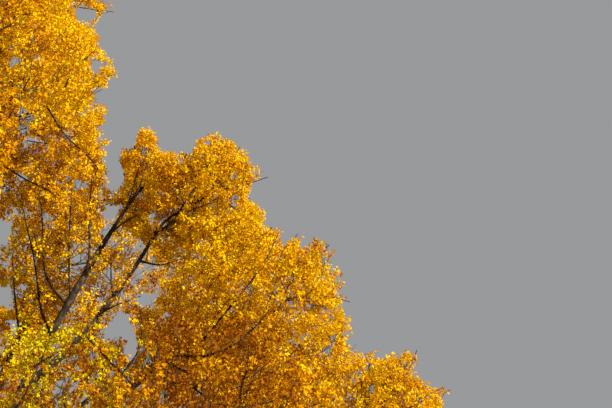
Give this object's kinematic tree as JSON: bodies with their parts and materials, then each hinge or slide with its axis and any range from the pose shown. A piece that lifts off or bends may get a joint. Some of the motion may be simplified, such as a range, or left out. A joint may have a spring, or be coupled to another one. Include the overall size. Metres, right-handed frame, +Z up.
{
  "type": "tree",
  "caption": "Open-grown poplar in golden autumn leaf: a short flared trunk, rising boughs and a broad rounded crown made of separate leafy masses.",
  "frame": {"origin": "middle of the flat cut under the trunk, at ground level", "axes": "+Z up; +X towards the right of the picture, with the camera on the -Y side"},
  "size_m": [17.5884, 17.6416, 19.3203],
  "materials": {
    "bark": "rough, furrowed grey-buff bark",
    "foliage": "satin golden-yellow autumn leaves on thin twigs"
  },
  "bodies": {
    "root": {"trunk": "bark", "bough_top": "bark", "bough_main": "bark", "bough_shoulder_1": "bark", "bough_shoulder_2": "bark", "bough_shoulder_3": "bark", "bough_shoulder_4": "bark", "bough_shoulder_5": "bark", "bough_shoulder_6": "bark", "bough_upper_1": "bark", "bough_upper_2": "bark", "bough_upper_3": "bark", "bough_upper_4": "bark", "bough_middle_1": "bark", "bough_middle_2": "bark", "bough_middle_3": "bark", "bough_middle_4": "bark", "bough_middle_5": "bark", "bough_middle_6": "bark", "bough_middle_7": "bark", "bough_middle_8": "bark", "bough_lower_1": "bark", "bough_lower_2": "bark", "bough_lower_3": "bark", "bough_lower_4": "bark", "bough_lower_5": "bark", "bough_lower_6": "bark", "bough_lower_7": "bark", "bough_lower_8": "bark", "bough_lower_9": "bark", "foliage_top": "foliage", "foliage_main": "foliage", "foliage_shoulder_1": "foliage", "foliage_shoulder_2": "foliage", "foliage_shoulder_3": "foliage", "foliage_shoulder_4": "foliage", "foliage_shoulder_5": "foliage", "foliage_shoulder_6": "foliage", "foliage_upper_1": "foliage", "foliage_upper_2": "foliage", "foliage_upper_3": "foliage", "foliage_upper_4": "foliage", "foliage_middle_1": "foliage", "foliage_middle_2": "foliage", "foliage_middle_3": "foliage", "foliage_middle_4": "foliage", "foliage_middle_5": "foliage", "foliage_middle_6": "foliage", "foliage_middle_7": "foliage", "foliage_middle_8": "foliage", "foliage_lower_1": "foliage", "foliage_lower_2": "foliage", "foliage_lower_3": "foliage", "foliage_lower_4": "foliage", "foliage_lower_5": "foliage", "foliage_lower_6": "foliage", "foliage_lower_7": "foliage", "foliage_lower_8": "foliage", "foliage_lower_9": "foliage"}
  },
  "joints": []
}
